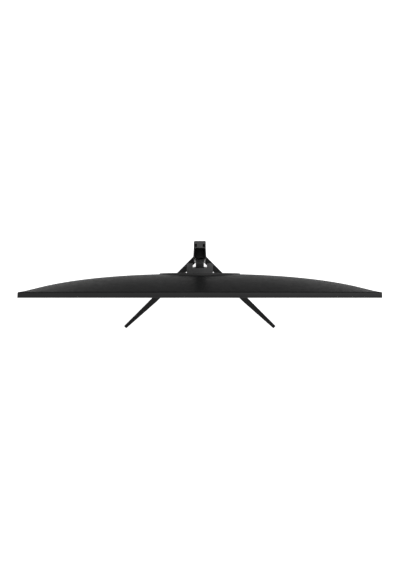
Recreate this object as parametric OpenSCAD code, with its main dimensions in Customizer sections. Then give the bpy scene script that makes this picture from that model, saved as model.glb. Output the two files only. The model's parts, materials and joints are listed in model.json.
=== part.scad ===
// Flat-screen computer monitor on a V-leg stand with height and tilt adjustment.
// +Z is up, the screen faces -Y, and the origin is on the table at the centre of the stand's outline.
// Every sub-part is one module and one node. All sizes are millimetres.

/* [Screen] */
// Width of the screen housing
screen_w = 614; // [600:1:640]
// Height of the screen housing
screen_h = 363; // [355:1:380]
// Height of the housing's lower edge above the table
screen_z = 90; // [80:1:100]
// Depth of the straight front frame
frame_d = 9.1; // [9:0.1:11]
// Depth of the domed rear cover behind the front frame
dome_d = 32.8; // [31:0.1:36]
// Wall of the front frame
frame_wall = 1.8; // [1.5:0.1:2.5]
// Height of the chin below the picture
chin_h = 16; // [14:0.5:20]

/* [Stand] */
// Depth of the stand from the leg tips to the back of the column
base_d = 167.4; // [160:0.1:175]
// Height of the top of the column
column_top = 400; // [380:1:420]
// Width of the column at its back
column_w = 20.9; // [20:0.1:24]
// Width of the column at its open front
column_front_w = 22.7; // [22:0.1:26]
// Depth of the column
column_d = 29.1; // [28:0.1:34]
// Width of a leg at its root, square to its edge
leg_w = 12.2; // [10:0.1:14]
// Width of a leg at its tip
leg_tip_w = 6.7; // [5:0.1:9]
// Thickness of a leg
leg_t = 10; // [8:0.5:12]
// Thickness of the rubber feet
foot_t = 2; // [1.5:0.1:3]

/* [Mount] */
// Radius of the round mounting boss
boss_r = 74.6; // [73:0.1:80]
// Hole spacing of the wall-mount pattern
vesa = 100; // [100:1:100]
// Radius of the wall-mount holes
vesa_r = 2; // [2:0.1:2.2]

/* [Hidden] */
$fn = 64;

// Screen: planes along Y, from the picture backwards
half_w = screen_w / 2;
front_y = -14.3;
rim_y = front_y + frame_d;
mid_z = screen_z + screen_h / 2;
cover_wall = 2.5;
lip_t = 1.1;
lip_w = 2.2;
glass_front = front_y + lip_t + 0.1;
glass_t = 1.2;
film_front = glass_front + glass_t + 0.2;
film_t = 0.8;
guide_front = film_front + film_t + 0.1;
guide_t = 3;
reflector_front = guide_front + guide_t + 0.1;
reflector_t = 0.4;
chassis_front = reflector_front + reflector_t + 0.1;
chassis_t = 0.9;
inner_w = screen_w - 2 * frame_wall;
picture_z = screen_z + chin_h;
picture_top = screen_z + screen_h - frame_wall;

// Rear: boss, wall-mount plate and board box
boss_back = 29.1;
boss_front = 21;
plate_t = 2;
box_back = 11;
box_wall = 1;
box_x = 105;
box_low = 162;
box_high = 350;
bay_x = 92;
bay_low = 118;
bay_high = 158;
bay_floor = 1.5;
bay_wall = 2;
board_y = 2;
board_t = 1.6;

// Joystick
stick_x = 228;
stick_z = 128;
stick_y = -0.6;
pivot_r = 0.4;

// Tilt hinge
hinge_y = 38.5;
hinge_z = 272;
shaft_r = 2.8;
knuckle_r = 6.5;
arm_w = 15;
saddle_w = 47.8;
gap_w = 26.4;
saddle_top = 300;
saddle_low = 246;
washer_r = 6.2;

// Column, carriage and spring
column_back = base_d / 2;
column_front = column_back - column_d;
cavity_w = 17;
cavity_back = column_back - 2.4;
hub_top = 14;
rail_t = 1.4;
carriage_low = 236;
carriage_high = 306;
arm_face = 58.5;
arm_top = 290;
arm_screw_z = [258, 268];
tongue_y = 77;
cover_front = 56.2;
roll_y = 72.6;
roll_z = 296;
roll_r = 6.4;

// Base: each leg runs at 45 degrees from the apex behind the column
apex_y = 80.6;
leg_side = (apex_y + base_d / 2 - leg_tip_w / sqrt(2)) * sqrt(2);
hub_x = 14;
leg_screw_s = [14, 24];

// Height of the dome behind the rim, from the place across (u) and up (v), each -1 to 1
function dome(u, v) = dome_d * pow(max(0, 1 - pow(abs(u), 2.29)), 0.69) * max(0, 1 - pow(abs(v), 2.33));

module box(x0, x1, y0, y1, z0, z1) translate([x0, y0, z0]) cube([x1 - x0, y1 - y0, z1 - z0]);
module sides() for (side = [-1, 1]) mirror([side < 0 ? 1 : 0, 0, 0]) children();
// Cylinder along Y and along X, between two planes
module rod_y(x, z, y0, y1, r) translate([x, y0, z]) rotate([-90, 0, 0]) cylinder(h = y1 - y0, r = r);
module rod_x(y, z, x0, x1, r) translate([x0, y, z]) rotate([0, 90, 0]) cylinder(h = x1 - x0, r = r);
module corners(span_x, span_z) for (x = [-span_x, span_x], z = [-span_z, span_z]) translate([x, 0, mid_z + z]) children();
// Screw along Y with its head at the back
module screw_y(x, z, head_y, length, r) {
    rod_y(x, z, head_y - length, head_y, r);
    rod_y(x, z, head_y, head_y + r, 1.9 * r);
}

// ---- Screen front ----
module front_bezel() color([0.09, 0.09, 0.09]) difference() {
    box(-half_w, half_w, front_y, rim_y, screen_z, screen_z + screen_h);
    box(-inner_w / 2, inner_w / 2, front_y + lip_t, rim_y + 1, screen_z + frame_wall, picture_top);
    box(-half_w + lip_w, half_w - lip_w, front_y - 1, rim_y, picture_z, screen_z + screen_h - lip_w);
    box(282, 290, front_y - 1, rim_y, screen_z - 1, screen_z + frame_wall + 1);
}
module lcd_glass() color([0.03, 0.03, 0.035])
    box(-inner_w / 2 + 0.3, inner_w / 2 - 0.3, glass_front, glass_front + glass_t, picture_z - 4, picture_top - 0.3);
module film_stack() color([0.9, 0.9, 0.9])
    box(-300, 300, film_front, film_front + film_t, picture_z - 1, picture_top - 5);
module light_guide() color([0.85, 0.92, 0.95])
    box(-299, 299, guide_front, guide_front + guide_t, picture_z - 1, picture_top - 5);
module reflector_sheet() color([0.95, 0.95, 0.95])
    box(-300, 300, reflector_front, reflector_front + reflector_t, picture_z - 1, picture_top - 5);
module led_strip() color([0.95, 0.93, 0.8]) {
    strip_z = picture_z - 4.2;
    box(-298, 298, guide_front, guide_front + guide_t, strip_z, strip_z + 1);
    for (i = [0 : 35]) box(-293 + i * 16.5, -286 + i * 16.5, guide_front + 0.6, guide_front + 2.4, strip_z + 1.1, strip_z + 2.6);
}
module mid_frame() color([0.14, 0.14, 0.15]) difference() {
    box(-inner_w / 2 + 0.2, inner_w / 2 - 0.2, film_front, chassis_front - 0.1, picture_z - 9, picture_top - 0.2);
    box(-301, 301, film_front - 1, chassis_front + 1, picture_z - 5, picture_top - 4);
}
module panel_chassis() color([0.62, 0.63, 0.65]) difference() {
    box(-inner_w / 2 + 0.2, inner_w / 2 - 0.2, chassis_front, chassis_front + chassis_t, picture_z - 9, picture_top - 0.2);
    for (x = [-250 : 100 : 250]) rod_y(x, picture_z + 30, chassis_front - 1, chassis_front + 2, 3);
}
module power_led_lens() color([0.8, 0.85, 0.9])
    box(282.3, 289.7, front_y + 2, rim_y - 1, screen_z + 0.2, screen_z + frame_wall);

// ---- Rear cover ----
// Closed shell: an outer and an inner grid, closest together near the rim, joined in the rim's plane
cover_nx = 34;
cover_nz = 24;
function grid(i, n) = sin(-90 + 180 * i / n);
function cover_point(i, j, wall) =
    let (u = grid(i, cover_nx), v = grid(j, cover_nz),
         edge = i == 0 || i == cover_nx || j == 0 || j == cover_nz)
    [u * (half_w - 0.6 - wall), rim_y + (edge ? 0 : max(0.3, dome(u, v) + 0.9 - wall)),
     mid_z + v * (screen_h / 2 - 0.6 - wall)];
module rear_cover_shell() {
    w = cover_nz + 1;
    total = (cover_nx + 1) * w;
    points = [for (wall = [0, cover_wall], i = [0 : cover_nx], j = [0 : cover_nz]) cover_point(i, j, wall)];
    // The diagonal of each cell runs towards the nearest corner, so no triangle lies in the rim's plane
    skins = [for (s = [0, 1], i = [0 : cover_nx - 1], j = [0 : cover_nz - 1])
        let (a = s * total + i * w + j, straight = (i < cover_nx / 2) == (j < cover_nz / 2),
             q = straight ? [a, a + 1, a + w + 1, a + w] : [a + 1, a + w + 1, a + w, a])
        each (s == 0 ? [[q[0], q[2], q[1]], [q[0], q[3], q[2]]] : [[q[0], q[1], q[2]], [q[0], q[2], q[3]]])];
    loop = concat([for (i = [0 : cover_nx]) i * w], [for (j = [1 : cover_nz]) cover_nx * w + j],
                  [for (i = [cover_nx - 1 : -1 : 0]) i * w + cover_nz], [for (j = [cover_nz - 1 : -1 : 1]) j]);
    n = len(loop);
    rim = [for (k = [0 : n - 1]) let (a = loop[k], b = loop[(k + 1) % n])
        each [[a, a + total, b + total], [a, b + total, b]]];
    polyhedron(points = points, faces = concat(skins, rim));
}
module rear_cover() color([0.11, 0.11, 0.11]) difference() {
    rear_cover_shell();
    rod_y(0, mid_z, rim_y + 8, boss_back + 10, boss_r + 0.5);
    box(-bay_x - 1.3, bay_x + 1.3, rim_y + 3, boss_back, bay_low - 3.2, bay_high + bay_wall + 0.2);
    rod_y(stick_x, stick_z, rim_y - 1, boss_back, 6);
}
// Recess under the boss: a back wall, and a ledge at its top that the connectors look down from
module port_bay() color([0.1, 0.1, 0.1]) difference() {
    union() {
        box(-bay_x - 1, bay_x + 1, bay_floor, bay_floor + bay_wall, bay_low - 3, bay_high + bay_wall);
        box(-bay_x - 1, bay_x + 1, bay_floor, 16.2, bay_high + 0.2, bay_high + bay_wall);
        sides() translate([bay_x, 0, 0]) rotate([90, 0, 90]) linear_extrude(1)
            polygon([[bay_floor, bay_low], [5.2, bay_low], [15.2, bay_high + 1], [bay_floor, bay_high + 1]]);
    }
    for (p = io_places) box(p[0] - p[1] / 2 - 0.3, p[0] + p[1] / 2 + 0.3, 4.4 - 0.3, 4.4 + p[2] + 0.3, bay_high - 1, bay_high + 9);
    sides() rod_y(70, bay_low + 14, bay_floor - 1, bay_floor + 5, 1.6);
}
module bay_screws() color([0.2, 0.2, 0.2]) sides() screw_y(70, bay_low + 14, bay_floor + bay_wall, 9, 1.5);

// ---- Electronics ----
// Connectors: place across, width, height of the opening
io_places = [[-72, 9, 7.2], [-38, 15.2, 5.6], [-10, 15.2, 5.6], [20, 16.4, 5.9], [48, 7.2, 7.2]];
module io_ports() color([0.7, 0.7, 0.72]) for (p = io_places) difference() {
    box(p[0] - p[1] / 2, p[0] + p[1] / 2, 4.4, 4.4 + p[2], bay_high - 0.4, bay_high + 14);
    box(p[0] - p[1] / 2 + 0.7, p[0] + p[1] / 2 - 0.7, 5.1, 3.7 + p[2], bay_high - 1, bay_high + 10);
}
module shield_box() color([0.68, 0.69, 0.7]) difference() {
    box(-box_x, box_x, chassis_front + chassis_t + 0.1, box_back, box_low, box_high);
    box(-box_x + box_wall, box_x - box_wall, rim_y - 5, box_back - box_wall, box_low + box_wall, box_high - box_wall);
    box(-82, 60, board_y - 0.5, box_back + 1, box_low - 1, box_low + 12);
    box(28, 52, -5, -2, box_low - 1, box_low + 2);
    for (i = [0 : 11]) box(-88 + i * 15, -80 + i * 15, box_back - 3, box_back + 1, box_high - 30, box_high - 10);
    for (x = [-94, 94], z = [box_low + 20, box_high - 20]) rod_y(x, z, box_back - 3, box_back + 1, 1.6);
}
module main_board() color([0.06, 0.25, 0.12]) {
    box(-95, 65, board_y, board_y + board_t, box_low + 4, 270);
    box(-30, 0, board_y + board_t + 0.05, board_y + 5, 215, 245);
    for (i = [0 : 4]) box(-80 + i * 9, -74 + i * 9, board_y + board_t + 0.05, board_y + 3, 225, 240);
    box(20, 55, board_y + board_t + 0.05, board_y + 4, 250, 256);
    for (x = [10, 22, 34]) rod_y(x, 205, board_y + board_t + 0.05, board_y + 7, 3);
}
module power_board() color([0.15, 0.3, 0.14]) {
    box(-60, 60, board_y, board_y + board_t, 280, 340);
    box(-45, -23, board_y + board_t + 0.05, board_y + 7.5, 295, 320);
    for (x = [-8, 6, 20]) rod_y(x, 310, board_y + board_t + 0.05, board_y + 7.5, 5);
    box(34, 40, board_y + board_t + 0.05, board_y + 7, 288, 332);
}
module tcon_board() color([0.05, 0.2, 0.32]) {
    box(-60, 60, -4.6, -3.4, 118, 134);
    box(-12, 12, -3.35, -1.6, 121, 131);
}
module flat_cable() color([0.88, 0.88, 0.84]) {
    box(30, 50, -3.3, -2.9, 126, 190);
    box(30, 50, -3.3, board_y - 0.1, 190.1, 190.5);
}
module osd_board() color([0.06, 0.25, 0.12]) box(stick_x - 20, stick_x + 20, -5, -3.9, stick_z - 9, stick_z + 9);
module joystick_base() color([0.25, 0.25, 0.26]) difference() {
    rod_y(stick_x, stick_z, -3.8, 0.2, 5.4);
    rod_y(stick_x, stick_z, -2.8, 1, 4.4);
    rod_x(stick_y, stick_z, stick_x - 5, stick_x + 5, pivot_r + 0.05);
}
module joystick_gimbal() color([0.6, 0.6, 0.6]) difference() {
    union() {
        rod_y(stick_x, stick_z, stick_y - 0.6, stick_y + 0.6, 3.9);
        rod_x(stick_y, stick_z, stick_x - 4.9, stick_x + 4.9, pivot_r);
    }
    rod_y(stick_x, stick_z, stick_y - 1, stick_y + 1, 2.6);
    translate([stick_x, stick_y, stick_z - 3.5]) cylinder(h = 7, r = pivot_r + 0.05);
}
module joystick_stem() color([0.85, 0.85, 0.85]) {
    rod_y(stick_x, stick_z, stick_y - 0.6, stick_y + 0.6, 1.9);
    rod_y(stick_x, stick_z, stick_y, 4.6, 0.9);
    translate([stick_x, stick_y, stick_z - 3.4]) cylinder(h = 6.8, r = pivot_r);
}
module joystick_cap() color([0.1, 0.1, 0.1]) difference() {
    union() {
        rod_y(stick_x, stick_z, 2, 7.4, 4.6);
        rod_y(stick_x, stick_z, 7.4, 8.2, 3.9);
    }
    rod_y(stick_x, stick_z, 1, 5.8, 0.95);
}

// ---- Wall mount and stand coupling ----
module vesa_plate() color([0.6, 0.61, 0.63]) difference() {
    box(-60, 60, boss_front - plate_t - 0.02, boss_front - 0.02, mid_z - 60, mid_z + 60);
    corners(vesa / 2, vesa / 2) rod_y(0, 0, 0, 40, vesa_r);
    corners(vesa / 2, 20) rod_y(0, 0, 0, 40, 1.5);
    rod_y(0, mid_z, 0, 40, 18);
}
module vesa_inserts() color([0.75, 0.7, 0.5]) corners(vesa / 2, vesa / 2) difference() {
    rod_y(0, 0, box_back + 0.02, boss_front - plate_t - 0.04, 4.5);
    rod_y(0, 0, box_back - 1, boss_front, vesa_r);
}
module mount_boss() color([0.12, 0.12, 0.12]) difference() {
    union() {
        rod_y(0, mid_z, boss_front, boss_back - 0.6, boss_r);
        translate([0, boss_back - 0.6, mid_z]) rotate([-90, 0, 0]) cylinder(h = 0.6, r1 = boss_r, r2 = boss_r - 0.6, $fn = 128);
    }
    corners(vesa / 2, vesa / 2) rod_y(0, 0, 0, 40, vesa_r);
    corners(vesa / 2, 20) rod_y(0, 0, boss_front - 1, boss_back + 1, 1.6);
    corners(vesa / 2, 20) rod_y(0, 0, boss_back - 3, boss_back + 1, 3.2);
    box(-saddle_w / 2 - 0.3, saddle_w / 2 + 0.3, boss_back - 2.4, boss_back + 1, saddle_low - 6.3, saddle_top + 4.3);
    box(-8.3, 8.3, boss_front + 2, boss_back + 1, saddle_low - 32, saddle_low - 12);
}
module boss_screws() color([0.25, 0.25, 0.25]) corners(vesa / 2, 20) {
    rod_y(0, 0, boss_front - plate_t - 3, boss_back - 3, 1.5);
    rod_y(0, 0, boss_back - 3, boss_back - 1.4, 3);
}
module release_plate() color([0.12, 0.12, 0.12]) difference() {
    box(-saddle_w / 2, saddle_w / 2, boss_back - 2.2, boss_back, saddle_low - 6, saddle_top + 4);
    corners(15, 20) rod_y(0, 0, 0, 40, 2);
}
module release_button() color([0.14, 0.14, 0.14]) {
    box(-8, 8, boss_front + 2.3, boss_back - 1, saddle_low - 31.7, saddle_low - 16.5);
    box(-6, 6, boss_back - 1.1, boss_back + 1.4, saddle_low - 29, saddle_low - 20);
}
// Saddle: a back wall and a roof over the arm, with a shoulder on each side that carries the shaft
module tilt_bracket() color([0.17, 0.17, 0.17]) difference() {
    union() {
        box(-saddle_w / 2, saddle_w / 2, boss_back + 0.02, boss_back + 2.4, saddle_low, saddle_top);
        box(-gap_w / 2 - 1, gap_w / 2 + 1, boss_back + 0.02, hinge_y, saddle_top - 8, saddle_top);
        sides() translate([gap_w / 2, 0, 0]) rotate([90, 0, 90])
            linear_extrude((saddle_w - gap_w) / 2)
                polygon([[boss_back + 1, saddle_low], [40, saddle_low], [47.4, saddle_low + 11], [47.4, saddle_top - 15],
                         [40.2, saddle_top], [boss_back + 1, saddle_top]]);
    }
    rod_x(hinge_y, hinge_z, -saddle_w, saddle_w, shaft_r);
    sides() rod_x(hinge_y, hinge_z, gap_w / 2 + 3, saddle_w, washer_r + 0.3);
    corners(15, 20) rod_y(0, 0, 0, boss_back + 1.6, 2);
}
module bracket_screws() color([0.3, 0.3, 0.3]) corners(15, 20) {
    rod_y(0, 0, boss_back - 2.2, boss_back + 1.6, 1.9);
}
module hinge_shaft() color([0.6, 0.6, 0.62]) rod_x(hinge_y, hinge_z, -saddle_w / 2 + 1.6, saddle_w / 2 - 1.6, shaft_r);
module hinge_washers() color([0.5, 0.5, 0.5]) sides() for (i = [0 : 2]) difference() {
    rod_x(hinge_y, hinge_z, gap_w / 2 + 3.05 + i * 1.05, gap_w / 2 + 4.05 + i * 1.05, washer_r);
    rod_x(hinge_y, hinge_z, 0, saddle_w, shaft_r + 0.1);
}
module hinge_nuts() color([0.7, 0.7, 0.7]) sides() difference() {
    translate([gap_w / 2 + 6.3, hinge_y, hinge_z]) rotate([0, 90, 0]) cylinder(h = 2.4, r = 5.4, $fn = 6);
    rod_x(hinge_y, hinge_z, 0, saddle_w, shaft_r);
}
module hinge_caps() color([0.13, 0.13, 0.13]) sides()
    rod_x(hinge_y, hinge_z, saddle_w / 2 - 1.5, saddle_w / 2, washer_r + 0.25);

// ---- Lift ----
module lift_arm() color([0.14, 0.14, 0.14]) difference() {
    union() {
        rod_x(hinge_y, hinge_z, -arm_w / 2, arm_w / 2, knuckle_r);
        translate([-arm_w / 2, 0, 0]) rotate([90, 0, 90]) linear_extrude(arm_w)
            polygon([[hinge_y, hinge_z - knuckle_r], [47, 256], [arm_face, 252], [arm_face, 276], [54.2, 276],
                     [54.2, arm_top], [47, arm_top], [hinge_y, hinge_z + knuckle_r]]);
    }
    rod_x(hinge_y, hinge_z, -arm_w, arm_w, shaft_r + 0.05);
    for (z = arm_screw_z) rod_y(0, z, 50, 60, 1.9);
}
module arm_screws() color([0.3, 0.3, 0.3]) for (z = arm_screw_z) {
    rod_y(0, z, 50, 62, 1.9);
    rod_y(0, z, 62, 64, 3.4);
}
module carriage() color([0.4, 0.4, 0.42]) difference() {
    union() {
        box(-6.9, 6.9, arm_face + 0.02, 78.8, carriage_low, carriage_high);
        sides() box(6.8, 7.7, tongue_y - 1.4, tongue_y + 1.4, carriage_low, carriage_high);
    }
    box(-5.4, 5.4, roll_y - roll_r - 0.8, 80, roll_z - roll_r - 1, carriage_high + 1);
    for (z = arm_screw_z) {
        rod_y(0, z, 50, 70, 1.9);
        rod_y(0, z, 62, 80, 3.6);
    }
    rod_x(roll_y, roll_z, -6.2, 6.2, 1.5);
}
// Dust cover over the carriage, which closes the column's channel from above
module carriage_cover() color([0.07, 0.07, 0.07]) {
    box(-cavity_w / 2 + 0.2, cavity_w / 2 - 0.2, cover_front, 74.2, carriage_high + 3.6, carriage_high + 6);
    box(-6.8, 6.8, 74, 79.2, carriage_high + 3.6, carriage_high + 6);
    box(-6.8, 6.8, cover_front + 2.4, 64, carriage_high + 0.02, carriage_high + 3.7);
}
module spring_drum() color([0.85, 0.85, 0.82]) {
    rod_x(roll_y, roll_z, -5.1, 5.1, 3);
    sides() rod_x(roll_y, roll_z, 5, 6.1, 1.4);
}
module spring_roll() color([0.55, 0.56, 0.6]) difference() {
    rod_x(roll_y, roll_z, -4.5, 4.5, roll_r);
    rod_x(roll_y, roll_z, -5, 5, 3);
}
module spring_band() color([0.6, 0.61, 0.65]) box(-4.5, 4.5, 79.6, 80, 226, column_top - 8);
module rail_liners() color([0.2, 0.2, 0.2]) sides() difference() {
    box(cavity_w / 2 - rail_t, cavity_w / 2 - 0.02, 74.6, 79.4, hub_top + 22, column_top - 6);
    box(cavity_w / 2 - rail_t - 1, 7.9, tongue_y - 1.55, tongue_y + 1.55, hub_top, column_top);
}

// ---- Column ----
module column_outline() polygon([
    [-column_front_w / 2, column_front], [-column_w / 2, column_back - 12.4],
    for (a = [180 : -15 : 90]) [-column_w / 2 + 2 + 2 * cos(a), column_back - 2 + 2 * sin(a)],
    for (a = [90 : -15 : 0]) [column_w / 2 - 2 + 2 * cos(a), column_back - 2 + 2 * sin(a)],
    [column_w / 2, column_back - 12.4], [column_front_w / 2, column_front]]);
module column() color([0.12, 0.12, 0.12]) difference() {
    translate([0, 0, hub_top]) linear_extrude(column_top - 4 - hub_top) column_outline();
    box(-cavity_w / 2, cavity_w / 2, column_front - 1, cavity_back, hub_top - 1, column_top);
}
module column_cap() color([0.24, 0.24, 0.24]) difference() {
    union() {
        translate([0, 0, column_top - 4 + 0.02]) linear_extrude(4 - 0.02) intersection() {
            column_outline();
            translate([-20, column_back - 12.2]) square([40, 20]);
        }
        box(-cavity_w / 2 + 0.1, cavity_w / 2 - 0.1, column_back - 12, column_back - 4.6, column_top - 5.6, column_top - 3.9);
    }
    sides() box(5.2, 9, column_back - 10.6, column_back - 5.4, column_top - 8, column_top + 1);
}
module column_foot() color([0.12, 0.12, 0.12]) difference() {
    box(-cavity_w / 2 + 0.05, cavity_w / 2 - 0.05, column_front + 4, cavity_back - 0.05, hub_top + 0.02, hub_top + 20);
    for (y = [63, 75]) translate([0, y, hub_top - 1]) cylinder(h = 16, r = 2);
}
module column_screws() color([0.3, 0.3, 0.3]) for (y = [63, 75]) {
    translate([0, y, 6]) cylinder(h = 22, r = 2);
    translate([0, y, 4]) cylinder(h = 2, r = 3.6);
}

// ---- Base ----
module hub_outline() {
    inner = apex_y - leg_w * sqrt(2);
    polygon([[0, apex_y], [hub_x, apex_y - hub_x], [hub_x, inner - hub_x], [0, inner], [-hub_x, inner - hub_x],
             [-hub_x, apex_y - hub_x]]);
}
module base_hub() color([0.12, 0.12, 0.12]) difference() {
    union() {
        translate([0, 0, foot_t]) linear_extrude(leg_t) hub_outline();
        translate([0, 0, foot_t]) linear_extrude(hub_top - foot_t) intersection() {
            column_outline();
            translate([-20, 58]) square([40, 40]);
        }
        sides() tenon(0);
    }
    for (y = [63, 75]) {
        translate([0, y, 0]) cylinder(h = 20, r = 2);
        translate([0, y, 0]) cylinder(h = 6, r = 3.7);
    }
    sides() for (s = leg_screw_s) leg_screw_place(s) cylinder(h = leg_t, r = 1.7);
}
// Tongue on the hub that a leg's socket slides over
module tenon(grow) intersection() {
    translate([0, apex_y, foot_t + 3 - grow]) rotate([0, 0, -45])
        translate([0, -leg_w / 2 - 3.5 - grow, 0]) cube([46, 7 + 2 * grow, 5 + 2 * grow]);
    box(hub_x - 1, 60, -100, 100, 0, 20);
}
module leg_screw_place(s) translate([0, apex_y, 0]) rotate([0, 0, -45])
    translate([hub_x * sqrt(2) + s - 1, -leg_w / 2, foot_t + 1]) children();
// Leg to the right: straight outer edge, inner edge drawn in towards the tip
module leg_shape() difference() {
    intersection() {
        translate([0, apex_y, foot_t]) rotate([0, 0, -45]) linear_extrude(leg_t)
            polygon([[-leg_w, 0], [leg_side, 0], [leg_side, -leg_tip_w], [leg_side * 0.62, -leg_w], [-leg_w, -leg_w]]);
        box(hub_x + 0.02, 200, -100, 100, 0, 20);
    }
    tenon(0.1);
    for (s = leg_screw_s) leg_screw_place(s) {
        cylinder(h = 3, r = 1.7);
        translate([0, 0, -2]) cylinder(h = 2.4, r = 3.2);
    }
}
module leg_right() color([0.13, 0.13, 0.13]) leg_shape();
module leg_left() color([0.13, 0.13, 0.13]) mirror([1, 0, 0]) leg_shape();
module leg_screws() color([0.3, 0.3, 0.3]) sides() for (s = leg_screw_s) leg_screw_place(s) {
    translate([0, 0, 0.4]) cylinder(h = 5.4, r = 1.6);
    translate([0, 0, -0.9]) cylinder(h = 1.3, r = 3);
}
module rubber_feet() color([0.08, 0.08, 0.08]) {
    sides() translate([0, apex_y, 0]) rotate([0, 0, -45]) for (s = [leg_side - 26, leg_side * 0.45])
        translate([s, -(s > leg_side * 0.6 ? leg_tip_w + 2.4 : leg_w + 2) / 2 - 1.8, 0]) cube([20, 4, foot_t - 0.02]);
    box(-9, 9, 79.6, column_back - 0.6, 0, foot_t - 0.02);
}

front_bezel();
lcd_glass();
film_stack();
light_guide();
reflector_sheet();
led_strip();
mid_frame();
panel_chassis();
rear_cover();
port_bay();
shield_box();
main_board();
power_board();
tcon_board();
flat_cable();
io_ports();
vesa_plate();
vesa_inserts();
mount_boss();
boss_screws();
bay_screws();
osd_board();
joystick_base();
joystick_gimbal();
joystick_stem();
joystick_cap();
power_led_lens();
release_plate();
release_button();
tilt_bracket();
bracket_screws();
hinge_shaft();
hinge_washers();
hinge_nuts();
hinge_caps();
lift_arm();
arm_screws();
carriage();
carriage_cover();
spring_drum();
spring_roll();
spring_band();
rail_liners();
column();
column_cap();
column_foot();
column_screws();
base_hub();
leg_left();
leg_right();
leg_screws();
rubber_feet();
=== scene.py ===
import json
from math import cos, pi, sin

import bmesh
import bpy
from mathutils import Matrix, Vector


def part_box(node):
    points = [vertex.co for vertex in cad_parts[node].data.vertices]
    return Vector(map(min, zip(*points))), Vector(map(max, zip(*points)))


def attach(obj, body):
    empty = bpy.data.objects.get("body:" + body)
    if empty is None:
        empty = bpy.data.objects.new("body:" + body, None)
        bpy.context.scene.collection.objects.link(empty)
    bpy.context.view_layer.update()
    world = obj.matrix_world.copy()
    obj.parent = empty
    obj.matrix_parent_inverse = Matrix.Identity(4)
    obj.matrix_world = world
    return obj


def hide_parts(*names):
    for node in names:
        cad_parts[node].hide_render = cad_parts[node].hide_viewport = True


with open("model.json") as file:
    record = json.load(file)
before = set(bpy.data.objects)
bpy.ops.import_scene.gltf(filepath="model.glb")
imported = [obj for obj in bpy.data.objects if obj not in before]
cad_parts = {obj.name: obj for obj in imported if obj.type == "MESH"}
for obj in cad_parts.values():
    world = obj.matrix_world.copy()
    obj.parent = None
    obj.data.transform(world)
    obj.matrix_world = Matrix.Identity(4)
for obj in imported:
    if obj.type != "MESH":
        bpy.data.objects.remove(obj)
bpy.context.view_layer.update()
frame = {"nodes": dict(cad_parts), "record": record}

# Flat-screen monitor on a V-leg stand, seen from straight above.
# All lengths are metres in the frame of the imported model: +Z up, +X along the screen, the screen faces -Y.
MM = 0.001
NODES = frame["nodes"]
RECORD = frame["record"]
HEAD = "head"


# ---------------------------------------------------------------- camera, floor and light

IMAGE_H = 570                  # height of the picture in pixels, which the focal length is given in
CAMERA_HEIGHT = 2.2
FOCAL_PIXELS = 1041.0
CAMERA_Y = 7.4 * MM
CAMERA_X = 0.35 * MM
SENSOR = 36.0
FLOOR_HALF = 40.0


def make_camera():
    data = bpy.data.cameras.new("camera")
    data.sensor_width = SENSOR
    data.lens = FOCAL_PIXELS / IMAGE_H * SENSOR
    data.clip_end = 100.0
    camera = bpy.data.objects.new("camera", data)
    camera.location = (CAMERA_X, CAMERA_Y, CAMERA_HEIGHT)
    bpy.context.scene.collection.objects.link(camera)
    bpy.context.scene.camera = camera


def make_floor():
    mesh = bpy.data.meshes.new("floor")
    corners = [(-FLOOR_HALF, -FLOOR_HALF, 0), (FLOOR_HALF, -FLOOR_HALF, 0),
               (FLOOR_HALF, FLOOR_HALF, 0), (-FLOOR_HALF, FLOOR_HALF, 0)]
    mesh.from_pydata(corners, [], [(0, 1, 2, 3)])
    floor = bpy.data.objects.new("floor", mesh)
    bpy.context.scene.collection.objects.link(floor)
    material = bpy.data.materials.new("floor_white")
    material.use_nodes = True
    shader = material.node_tree.nodes["Principled BSDF"]
    shader.inputs["Base Color"].default_value = (0.85, 0.85, 0.85, 1)
    shader.inputs["Roughness"].default_value = 0.9
    shader.inputs["Emission Color"].default_value = (1, 1, 1, 1)
    shader.inputs["Emission Strength"].default_value = 0.95
    mesh.materials.append(material)
    floor.visible_diffuse = False


def make_backdrop():
    """Pale walls far away, so a low view has no grey sky. Light passes through them."""
    far, high = 18.0, 12.0
    mesh = bpy.data.meshes.new("backdrop")
    plan = ((-far, -far), (far, -far), (far, far), (-far, far))
    corners = [(x, y, z) for z in (0, high) for x, y in plan]
    mesh.from_pydata(corners, [], [(k, (k + 1) % 4, 4 + (k + 1) % 4, 4 + k) for k in range(4)])
    backdrop = bpy.data.objects.new("backdrop", mesh)
    bpy.context.scene.collection.objects.link(backdrop)
    mesh.materials.append(bpy.data.materials["floor_white"])
    backdrop.visible_diffuse = False
    backdrop.visible_glossy = False
    backdrop.visible_shadow = False


def area_light(name, place, aim, size, power):
    data = bpy.data.lights.new(name, "AREA")
    data.shape = "RECTANGLE"
    data.size, data.size_y = size
    data.energy = power
    light = bpy.data.objects.new(name, data)
    light.location = place
    light.rotation_euler = (Vector(aim) - Vector(place)).to_track_quat("-Z", "Y").to_euler()
    bpy.context.scene.collection.objects.link(light)


def make_light():
    scene = bpy.context.scene
    scene.view_settings.view_transform = "Standard"
    world = bpy.data.worlds.new("studio")
    world.use_nodes = True
    background = world.node_tree.nodes["Background"]
    background.inputs["Color"].default_value = (1, 1, 1, 1)
    background.inputs["Strength"].default_value = 0.5
    scene.world = world
    area_light("soft_top", (1.2, 1.3, 2.6), (0, 0, 0.3), (2.4, 2.4), 21)


# ---------------------------------------------------------------- materials

NOISE_LOW, NOISE_HIGH = 0.3, 0.7    # the range a noise mostly keeps to


def noise(tree, scale, detail=2.0, rough=0.5):
    place = tree.nodes.new("ShaderNodeTexCoord")
    node = tree.nodes.new("ShaderNodeTexNoise")
    node.inputs["Scale"].default_value = scale
    node.inputs["Detail"].default_value = detail
    node.inputs["Roughness"].default_value = rough
    tree.links.new(place.outputs["Object"], node.inputs["Vector"])
    return node


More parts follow.
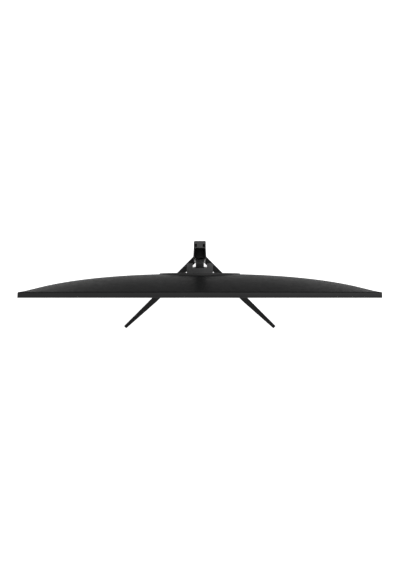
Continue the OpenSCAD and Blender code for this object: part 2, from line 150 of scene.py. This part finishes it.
def spread(tree, source, low, high):
    """Maps the usual range of a noise onto low to high."""
    node = tree.nodes.new("ShaderNodeMapRange")
    node.inputs["From Min"].default_value = NOISE_LOW
    node.inputs["From Max"].default_value = NOISE_HIGH
    node.inputs["To Min"].default_value = low
    node.inputs["To Max"].default_value = high
    tree.links.new(source.outputs["Fac"], node.inputs["Value"])
    return node


def surface(name, dark, light, rough, patch=18.0, grain=2600.0, bump=0.06, metallic=0.0, specular=0.5):
    """A moulded or coated surface: colour and gloss drift in patches, and a fine grain in relief.
    rough is the pair of roughness limits, and grain the number of grains in a metre."""
    material = bpy.data.materials.new(name)
    material.use_nodes = True
    tree = material.node_tree
    shader = tree.nodes["Principled BSDF"]
    shader.inputs["Metallic"].default_value = metallic
    shader.inputs["Specular IOR Level"].default_value = specular
    patches = noise(tree, patch, 3.0)
    ramp = tree.nodes.new("ShaderNodeValToRGB")
    ramp.color_ramp.elements[0].position = NOISE_LOW
    ramp.color_ramp.elements[0].color = (*dark, 1)
    ramp.color_ramp.elements[1].position = NOISE_HIGH
    ramp.color_ramp.elements[1].color = (*light, 1)
    tree.links.new(patches.outputs["Fac"], ramp.inputs["Fac"])
    tree.links.new(ramp.outputs["Color"], shader.inputs["Base Color"])
    gloss = spread(tree, noise(tree, patch * 6.0, 4.0), *rough)
    tree.links.new(gloss.outputs["Result"], shader.inputs["Roughness"])
    relief = tree.nodes.new("ShaderNodeBump")
    relief.inputs["Strength"].default_value = bump
    relief.inputs["Distance"].default_value = 0.0002
    tree.links.new(noise(tree, grain, 1.0).outputs["Fac"], relief.inputs["Height"])
    tree.links.new(relief.outputs["Normal"], shader.inputs["Normal"])
    return material


def grey(value):
    return (value, value, value * 1.01)


def make_materials():
    return {
        "cover_plastic": surface("cover_plastic", grey(0.0145), grey(0.018), (0.38, 0.46),
                                 bump=0.2, specular=0.005),
        # The column cap's plastic is a lighter copy of the cover plastic: painted light, for a top that
        # stands high and catches the lamp.
        "cap_painted_light": surface("cap_painted_light", grey(0.055), grey(0.07), (0.5, 0.6), grain=1500.0, bump=0.5),
        # The boss's plastic is a lighter copy of the cover plastic: painted light on its up-facing rim.
        "boss_painted_light": surface("boss_painted_light", grey(0.055), grey(0.066), (0.45, 0.55),
                                bump=0.3, specular=0.1),
        # The bracket and arm paint is a far lighter copy of the stand paint: painted light on the bracket's
        # top, and on the arm to lift it out of the shade it sits in.
        "saddle_painted_light": surface("saddle_painted_light", grey(0.12), grey(0.14), (0.5, 0.6),
                                grain=1800.0, bump=0.3, specular=0.002),
        "bezel_plastic": surface("bezel_plastic", grey(0.016), grey(0.020), (0.38, 0.46),
                                 bump=0.2, specular=0.35),
        "stand_metal": surface("stand_metal", grey(0.017), grey(0.021), (0.44, 0.54),
                               grain=1800.0, bump=0.3, specular=0.2),
        "screen": surface("screen", grey(0.002), grey(0.0026), (0.26, 0.32),
                          grain=5200.0, bump=0.08, specular=0.06),
        "diffuser": surface("diffuser", grey(0.75), grey(0.8), (0.3, 0.4)),
        "acrylic": surface("acrylic", (0.7, 0.78, 0.8), (0.74, 0.82, 0.84), (0.05, 0.1), bump=0.02),
        "led_board": surface("led_board", (0.7, 0.68, 0.6), (0.76, 0.74, 0.66), (0.4, 0.5)),
        "sheet_steel": surface("sheet_steel", grey(0.22), grey(0.28), (0.3, 0.42),
                               patch=60.0, grain=900.0, metallic=1.0),
        "circuit_board": surface("circuit_board", (0.012, 0.09, 0.04), (0.02, 0.12, 0.05), (0.3, 0.4),
                                 patch=220.0),
        "cable_film": surface("cable_film", grey(0.6), grey(0.7), (0.35, 0.45), grain=1000.0),
        "connector_metal": surface("connector_metal", grey(0.62), grey(0.68), (0.18, 0.28),
                                   metallic=1.0, bump=0.03),
        "brass": surface("brass", (0.6, 0.42, 0.18), (0.68, 0.5, 0.24), (0.22, 0.34), metallic=1.0),
        "screw_steel": surface("screw_steel", grey(0.03), grey(0.05), (0.3, 0.45), metallic=0.6),
        "switch_plastic": surface("switch_plastic", grey(0.03), grey(0.04), (0.4, 0.5)),
        "lens": surface("lens", (0.35, 0.38, 0.4), (0.4, 0.43, 0.45), (0.15, 0.25), bump=0.03),
        "cast_metal": surface("cast_metal", grey(0.3), grey(0.36), (0.35, 0.5), grain=1400.0, metallic=1.0),
        "shaft_steel": surface("shaft_steel", grey(0.5), grey(0.56), (0.2, 0.3), metallic=1.0, bump=0.03),
        "slide_plastic": surface("slide_plastic", grey(0.024), grey(0.03), (0.35, 0.45)),
        "spring_steel": surface("spring_steel", (0.34, 0.36, 0.4), (0.4, 0.42, 0.46), (0.2, 0.3),
                                metallic=1.0, bump=0.03),
        "rubber": surface("rubber", grey(0.012), grey(0.02), (0.7, 0.85), grain=1500.0, bump=0.3),
    }


# ---------------------------------------------------------------- mesh helpers

# Angles in degrees: edges sharper than these are shaded sharp, or get a bevel
SHARP = 35
SHARP_BEVELLED = 50
BEVEL_FROM = 32
# Faces that meet at less than this angle, in degrees, are merged before a bevel
FLAT = 1.5


def add_piece(name, mesh, body, slot, replaced=(), look=None):
    """A finished mesh becomes a piece that rides on a body and may replace CAD nodes.
    It wears its slot's material, or the one called look."""
    piece = bpy.data.objects.new(name, mesh)
    bpy.context.scene.collection.objects.link(piece)
    mesh.materials.clear()
    mesh.materials.append(MATERIALS[look or slot])
    for polygon in mesh.polygons:
        polygon.use_smooth = True
    mesh.set_sharp_from_angle(angle=SHARP * pi / 180)
    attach(piece, body)
    if replaced:
        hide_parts(*replaced)
    return piece


def apply_modifiers(piece):
    graph = bpy.context.evaluated_depsgraph_get()
    mesh = bpy.data.meshes.new_from_object(piece.evaluated_get(graph))
    old = piece.data
    piece.modifiers.clear()
    piece.data = mesh
    mesh.name = piece.name
    bpy.data.meshes.remove(old)


def bevelled_copy(node, width, look=None):
    """A copy of a CAD node's shape with its edges rounded, which replaces the node."""
    source = NODES[node]
    mesh = source.data.copy()
    mesh.name = node + "_piece"
    form = bmesh.new()
    form.from_mesh(mesh)
    bmesh.ops.remove_doubles(form, verts=form.verts, dist=1e-6)
    bmesh.ops.dissolve_limit(form, angle_limit=FLAT * pi / 180, verts=form.verts, edges=form.edges)
    form.to_mesh(mesh)
    form.free()
    body = next(name for name, nodes in RECORD["behaviour"]["bodies"].items() if node in nodes)
    own_slot = next(row["material_slot"] for row in RECORD["subparts"] if row["node"] == node)
    piece = add_piece(node + "_piece", mesh, body, own_slot, (node,), look=look)
    bevel = piece.modifiers.new("bevel", "BEVEL")
    bevel.width = width
    bevel.segments = 3
    bevel.limit_method = "ANGLE"
    bevel.angle_limit = BEVEL_FROM * pi / 180
    bevel.use_clamp_overlap = True
    apply_modifiers(piece)
    for polygon in piece.data.polygons:
        polygon.use_smooth = True
    piece.data.set_sharp_from_angle(angle=SHARP_BEVELLED * pi / 180)
    return piece


def outline(x, low, high, radius, steps=6):
    """Points round an upright rectangle with round corners, from its lower right corner, as (x, z)."""
    centres = ((x - radius, low + radius, -90), (x - radius, high - radius, 0),
               (-x + radius, high - radius, 90), (-x + radius, low + radius, 180))
    points = []
    for cx, cz, start in centres:
        for k in range(steps + 1):
            turn = (start + 90 * k / steps) * pi / 180
            points.append((cx + radius * cos(turn), cz + radius * sin(turn)))
    return points


def loft(name, loops, closed):
    """Joins equal loops with quads. closed joins the last to the first, else both ends get a cap."""
    mesh = bpy.data.meshes.new(name)
    count = len(loops[0])
    points = [p for loop in loops for p in loop]
    faces = []
    spans = len(loops) if closed else len(loops) - 1
    for i in range(spans):
        a, b = i * count, (i + 1) % len(loops) * count
        for k in range(count):
            n = (k + 1) % count
            faces.append((a + k, a + n, b + n, b + k))
    if not closed:
        faces.append(tuple(range(count))[::-1])
        faces.append(tuple(range((len(loops) - 1) * count, len(loops) * count)))
    mesh.from_pydata(points, [], faces)
    form = bmesh.new()
    form.from_mesh(mesh)
    bmesh.ops.recalc_face_normals(form, faces=form.faces)
    form.to_mesh(mesh)
    form.free()
    return mesh


# ---------------------------------------------------------------- screen front

bezel_low, bezel_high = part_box("front_bezel")
HALF_W = bezel_high[0]
FRONT_Y, RIM_Y = bezel_low[1], bezel_high[1]
LOW_Z, HIGH_Z = bezel_low[2], bezel_high[2]
MID_Z = (LOW_Z + HIGH_Z) / 2


def make_front_bezel():
    """Frame with a narrow lip round the picture, a chin below it, and sides that lean in to the back."""
    lip, chin, wall, lip_t = 2.2 * MM, 16 * MM, 1.8 * MM, 1.1 * MM
    lean = 0.35 * MM
    round_front, round_back = 0.5 * MM, 0.8 * MM
    corner = 3.0 * MM
    profile = []                                    # inset from the outer face, y, share of the chin
    for k in range(5):
        turn = k * pi / 8
        profile.append((round_front * (1 - sin(turn)), FRONT_Y + round_front * (1 - cos(turn)), 0))
    profile.append((lean, RIM_Y - round_back, 0))
    for k in range(1, 5):
        turn = k * pi / 8
        inset = lean + round_back * (1 - cos(turn))
        profile.append((inset, RIM_Y - round_back + round_back * sin(turn), 0))
    profile.append((wall, RIM_Y, 0))
    profile.append((wall, FRONT_Y + lip_t, 0))
    profile.append((lip, FRONT_Y + lip_t, 1))
    profile.append((lip, FRONT_Y + 0.3 * MM, 1))
    profile.append((lip - 0.3 * MM, FRONT_Y, 1))
    loops = []
    for inset, y, share in profile:
        below = inset + share * (chin - lip)
        ring = outline(HALF_W - inset, LOW_Z + below, HIGH_Z - inset, max(corner - inset, 0.6 * MM))
        loops.append([(x, y, z) for x, z in ring])
    add_piece("bezel_frame", loft("bezel_frame", loops, True), HEAD, "bezel_plastic", ("front_bezel",))


# ---------------------------------------------------------------- rear cover

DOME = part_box("rear_cover")[1][1] - RIM_Y
COVER_WALL = 2.5 * MM
COVER_GAP = 0.6 * MM
COVER_LIFT = 0.9 * MM            # the rings behind the rim stand this far out from the formula
COVER_THIN = 0.3 * MM            # least depth of the inner face behind the rim plane
COVER_CORNER = 3.0 * MM
COVER_RINGS = 56
# Powers that shape the dome: across, its fall to the sides, and up and down
DOME_ACROSS = 2.29
DOME_FALL = 0.69
DOME_UP = 2.33
# Vent slots low on each side: number, place of the first, spacing, half width, corner, bottom and top
VENT_SLOTS = 15
VENT_FIRST_X = 112 * MM
VENT_GAP = 7.0 * MM
VENT_HALF = 1.3 * MM
VENT_ROUND = 1.25 * MM
VENT_LOW, VENT_HIGH = 136 * MM, 158 * MM
# Gaps round the boss and the port bay, the hole for the stick, and where each cut starts behind the rim
BOSS_GAP = 0.5 * MM
BAY_GAP = 0.3 * MM
STICK_HOLE = 6 * MM
BOSS_CUT_FROM = 8 * MM
BOSS_CUT_PAST = 10 * MM
BAY_CUT_FROM = 3 * MM
VENT_CUT_FROM = 2 * MM


def dome(x, z):
    """Height of the cover's outer face behind its rim plane."""
    u = min(abs(x) / (HALF_W - COVER_GAP), 1)
    v = min(abs(z - MID_Z) / ((HIGH_Z - LOW_Z) / 2 - COVER_GAP), 1)
    return DOME * (1 - u ** DOME_ACROSS) ** DOME_FALL * (1 - v ** DOME_UP)


def cover_ring(half_w, half_h):
    """Points round the cover's plan from its lower right corner, with cuts along the sides, as (x, z)."""
    steps = 6
    inner_w = half_w - COVER_CORNER
    inner_h = half_h - COVER_CORNER
    arcs = []
    centres = ((inner_w, -inner_h, -90), (inner_w, inner_h, 0),
               (-inner_w, inner_h, 90), (-inner_w, -inner_h, 180))
    for cx, cz, start in centres:
        turns = [(start + 90 * k / steps) * pi / 180 for k in range(steps + 1)]
        arcs.append([(cx + COVER_CORNER * cos(turn), cz + COVER_CORNER * sin(turn)) for turn in turns])
    ring = []
    for index, arc in enumerate(arcs):
        following = arcs[(index + 1) % 4][0]
        ring += arc
        cuts = 36 if index in (0, 2) else 60
        last = arc[-1]
        step_x, step_z = following[0] - last[0], following[1] - last[1]
        ring += [(last[0] + step_x * k / cuts, last[1] + step_z * k / cuts) for k in range(1, cuts)]
    return ring


def cover_loops(wall):
    """Loops from the rim to the middle of the outer face (wall 0) or of the inner face."""
    ring = cover_ring(HALF_W - COVER_GAP - wall, (HIGH_Z - LOW_Z) / 2 - COVER_GAP - wall)
    loops = []
    for i in range(COVER_RINGS + 1):
        scale = cos(i / COVER_RINGS * pi / 2) if i < COVER_RINGS else 0.004
        loop = []
        for x, z in ring:
            px, pz = x * scale, z * scale + MID_Z
            if i == 0:
                height = 0
            elif wall == 0:
                height = dome(px, pz) + COVER_LIFT * min(1.0, i / 3)
            else:
                height = max(dome(px, pz) + COVER_LIFT - wall, COVER_THIN)
            loop.append((px, RIM_Y + min(height, DOME), pz))
        loops.append(loop)
    return loops


def round_block(x, half, y0, y1, low, high, radius):
    """Upright block with round corners, centred on x."""
    loops = [[(x + px, y, pz) for px, pz in outline(half, low, high, radius)] for y in (y0, y1)]
    return loft("round_block", loops, False)


def disc(x, z, y0, y1, radius, count=96):
    turns = [2 * pi * k / count for k in range(count)]
    ring = [(x + radius * cos(turn), z + radius * sin(turn)) for turn in turns]
    return loft("disc", [[(px, y, pz) for px, pz in ring] for y in (y0, y1)], False)


def cut(piece, meshes):
    """Cuts closed meshes out of a piece."""
    for mesh in meshes:
        tool = bpy.data.objects.new("cutter", mesh)
        bpy.context.scene.collection.objects.link(tool)
        boolean = piece.modifiers.new("cut", "BOOLEAN")
        boolean.operation = "DIFFERENCE"
        boolean.solver = "EXACT"
        boolean.object = tool
        bpy.context.view_layer.update()
        apply_modifiers(piece)
        bpy.data.objects.remove(tool)
        bpy.data.meshes.remove(mesh)
    for polygon in piece.data.polygons:
        polygon.use_smooth = True
    piece.data.set_sharp_from_angle(angle=SHARP * pi / 180)


def make_rear_cover():
    outer, inner = cover_loops(0), cover_loops(COVER_WALL)
    mesh = loft("cover_shell", outer[::-1] + inner, False)
    cover = add_piece("cover_shell", mesh, HEAD, "cover_plastic", ("rear_cover",))
    boss_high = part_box("mount_boss")[1]
    bay_low, bay_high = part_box("port_bay")
    stick_low, stick_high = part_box("joystick_cap")
    stick_x, stick_z = (stick_low[0] + stick_high[0]) / 2, (stick_low[2] + stick_high[2]) / 2
    bay_w, bay_bottom, bay_top = bay_high[0] + BAY_GAP, bay_low[2] - BAY_GAP, bay_high[2] + BAY_GAP
    end = boss_high[1]
    boss_r = boss_high[0] + BOSS_GAP
    tools = [
        disc(0, MID_Z, RIM_Y + BOSS_CUT_FROM, end + BOSS_CUT_PAST, boss_r, 160),
        round_block(0, bay_w, RIM_Y + BAY_CUT_FROM, end, bay_bottom, bay_top, MM),
        disc(stick_x, stick_z, RIM_Y - MM, end, STICK_HOLE, 64),
    ]
    for side in (-1, 1):
        for k in range(VENT_SLOTS):
            x = side * (VENT_FIRST_X + k * VENT_GAP)
            start = RIM_Y + VENT_CUT_FROM
            tools.append(round_block(x, VENT_HALF, start, end, VENT_LOW, VENT_HIGH, VENT_ROUND))
    cut(cover, tools)


# ---------------------------------------------------------------- the whole

def make_plain_nodes():
    """CAD nodes that stay as they are wear their slot's material."""
    for row in RECORD["subparts"]:
        node = NODES[row["node"]]
        node.data.materials.clear()
        node.data.materials.append(MATERIALS[row["material_slot"]])


make_camera()
make_floor()
make_backdrop()
make_light()
MATERIALS = make_materials()
make_plain_nodes()
make_front_bezel()
make_rear_cover()
# Millimetres of rounding on the CAD nodes that a rounded copy replaces
ROUNDED = {
    "column": 0.8, "base_hub": 0.6, "leg_left": 0.8, "leg_right": 0.8, "carriage": 0.5,
    "carriage_cover": 0.3, "release_button": 0.5, "release_plate": 0.4, "joystick_cap": 0.6,
    "hinge_caps": 0.4, "rubber_feet": 0.4, "port_bay": 0.3, "hinge_nuts": 0.3, "spring_roll": 0.3}
for name, width in ROUNDED.items():
    bevelled_copy(name, width * MM)
# The column cap wears its lighter copy of the cover plastic: painted light, not its own colour.
bevelled_copy("column_cap", 0.5 * MM, look="cap_painted_light")
# The boss wears its lighter copy of the cover plastic: painted light on its rim.
bevelled_copy("mount_boss", 0.4 * MM, look="boss_painted_light")
# The tilt bracket and the lift arm wear the lighter stand paint: painted light on the bracket's top, and on
# the arm against the shade it sits in.
bevelled_copy("tilt_bracket", 0.7 * MM, look="saddle_painted_light")
bevelled_copy("lift_arm", 0.8 * MM, look="saddle_painted_light")
